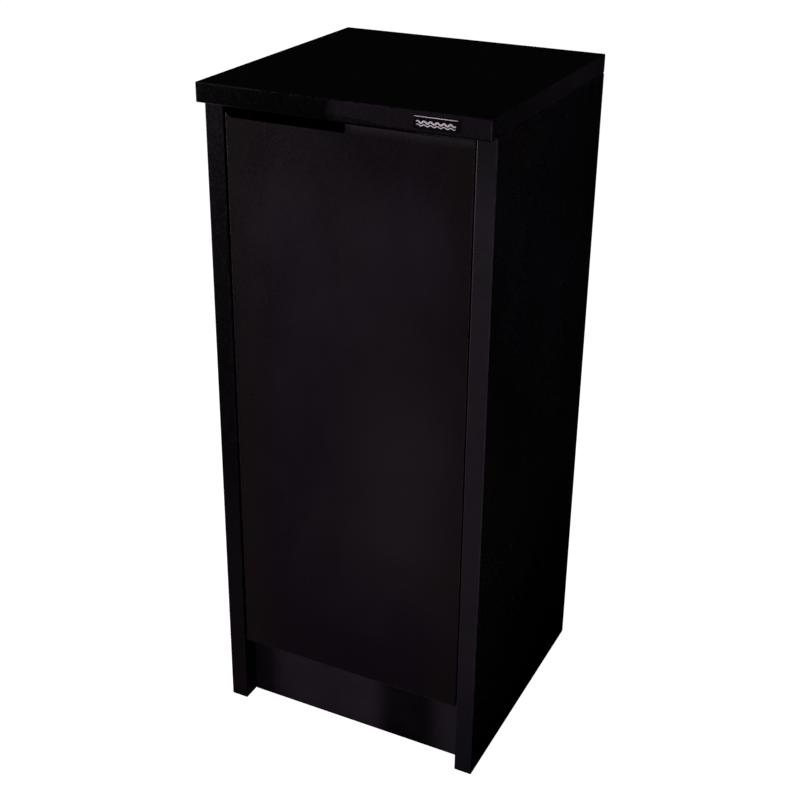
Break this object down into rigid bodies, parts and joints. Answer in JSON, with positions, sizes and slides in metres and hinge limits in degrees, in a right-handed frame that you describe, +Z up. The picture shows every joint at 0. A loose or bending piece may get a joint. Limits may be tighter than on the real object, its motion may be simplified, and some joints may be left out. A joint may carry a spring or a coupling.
{
  "type": "aquarium stand cabinet",
  "caption": "Tall narrow black cabinet that carries a small aquarium, with an inset door on concealed hinges, a finger notch instead of a handle, a recessed kickboard and an inner shelf.",
  "frame": {"origin": "on the floor, at the middle of the cabinet's outer box (badge included)", "axes": "+Z up, -Y towards the front (the door), +X to the right seen from the front (the hinge side)"},
  "size_m": [0.385, 0.3912, 0.92],
  "materials": {
    "carcass_board": "black melamine faced board with matching edging, smooth satin",
    "door_board": "black melamine faced board with matching edging, fine satin",
    "back_board": "thin hardboard, painted black on the inside",
    "steel": "nickel plated pressed steel",
    "zinc": "bare zinc die casting",
    "dowel": "fluted beech",
    "bumper": "soft translucent pad",
    "badge": null
  },
  "bodies": {
    "carcass": {"top_panel": "carcass_board", "left_side_panel": "carcass_board", "right_side_panel": "carcass_board", "bottom_shelf": "carcass_board", "kickboard": "carcass_board", "adjustable_shelf": "carcass_board", "back_panel": "back_board", "badge_plate": "badge", "door_bumper_left": "bumper", "door_bumper_right": "bumper", "shelf_peg_front_left": "steel", "shelf_peg_front_right": "steel", "shelf_peg_rear_left": "steel", "shelf_peg_rear_right": "steel", "cam_lock_top_front_left": "zinc", "cam_bolt_top_front_left": "steel", "cam_lock_top_rear_left": "zinc", "cam_bolt_top_rear_left": "steel", "cam_lock_shelf_front_left": "zinc", "cam_bolt_shelf_front_left": "steel", "cam_lock_shelf_rear_left": "zinc", "cam_bolt_shelf_rear_left": "steel", "cam_lock_kick_left": "zinc", "cam_bolt_kick_left": "steel", "cam_lock_top_front_right": "zinc", "cam_bolt_top_front_right": "steel", "cam_lock_top_rear_right": "zinc", "cam_bolt_top_rear_right": "steel", "cam_lock_shelf_front_right": "zinc", "cam_bolt_shelf_front_right": "steel", "cam_lock_shelf_rear_right": "zinc", "cam_bolt_shelf_rear_right": "steel", "cam_lock_kick_right": "zinc", "cam_bolt_kick_right": "steel", "kick_dowel_left": "dowel", "kick_dowel_right": "dowel", "hinge_plate_screw_lower_low": "steel", "hinge_plate_screw_lower_high": "steel", "hinge_arm_lower": "steel", "hinge_plate_lower": "steel", "hinge_adjuster_screw_lower": "steel", "hinge_arm_screw_lower": "steel", "hinge_plate_screw_upper_low": "steel", "hinge_plate_screw_upper_high": "steel", "hinge_arm_upper": "steel", "hinge_plate_upper": "steel", "hinge_adjuster_screw_upper": "steel", "hinge_arm_screw_upper": "steel"},
    "door": {"door": "door_board", "hinge_cup_lower": "steel", "hinge_cup_screw_lower_low": "steel", "hinge_cup_screw_lower_high": "steel", "hinge_cup_upper": "steel", "hinge_cup_screw_upper_low": "steel", "hinge_cup_screw_upper_high": "steel"},
    "hinge_outer_links": {"hinge_outer_link_lower": "steel", "hinge_outer_link_upper": "steel"},
    "hinge_inner_links": {"hinge_inner_link_lower": "steel", "hinge_inner_link_upper": "steel"}
  },
  "joints": [
    {"name": "door_hinge", "type": "hinge", "parent": "carcass", "child": "door", "pos_m": [0.165, -0.17335, 0.498], "axis": [0, 0, 1], "range_deg": [0, 100]},
    {"name": "outer_link_swing", "type": "hinge", "parent": "carcass", "child": "hinge_outer_links", "pos_m": [0.165, -0.17335, 0.498], "axis": [0, 0, 1], "range_deg": [0, 41]},
    {"name": "inner_link_swing", "type": "hinge", "parent": "carcass", "child": "hinge_inner_links", "pos_m": [0.165, -0.17335, 0.498], "axis": [0, 0, 1], "range_deg": [0, 82]}
  ],
  "couplings": [
    {"joint": "outer_link_swing", "follows": "door_hinge", "ratio": 0.41},
    {"joint": "inner_link_swing", "follows": "door_hinge", "ratio": 0.82}
  ]
}
